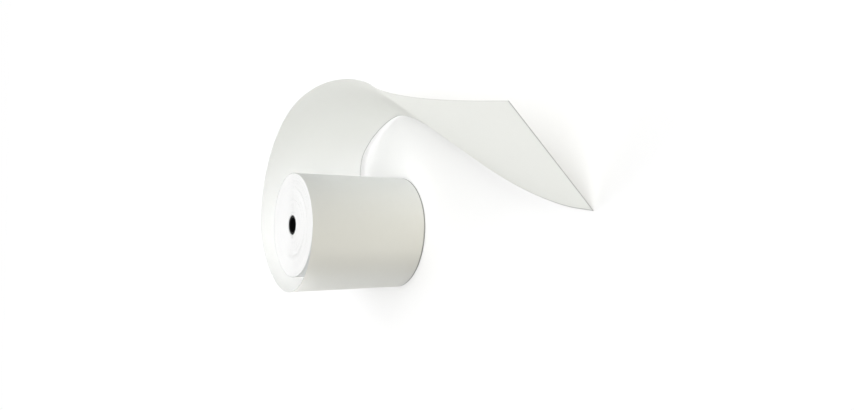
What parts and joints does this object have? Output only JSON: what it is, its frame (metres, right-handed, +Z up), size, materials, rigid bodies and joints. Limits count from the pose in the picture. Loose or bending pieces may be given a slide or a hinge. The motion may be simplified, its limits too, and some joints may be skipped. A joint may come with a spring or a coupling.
{
  "type": "thermal paper roll",
  "caption": "Plain white thermal till roll standing on end, its outer turn sprung loose and winding out into a free tail.",
  "frame": {"origin": "middle of the core's bore, half way up the roll", "axes": "+Z up along the core; -Y to the front, where the outer turn lifts off and towards which the free tail runs; the roll stands on its lower end at z = -0.040"},
  "size_m": [0.1294, 0.2533, 0.0831],
  "materials": {
    "thermal_paper": "smooth",
    "core_plastic": "matte"
  },
  "bodies": {
    "root": {"paper_roll": "thermal_paper", "core": "core_plastic"}
  },
  "joints": []
}
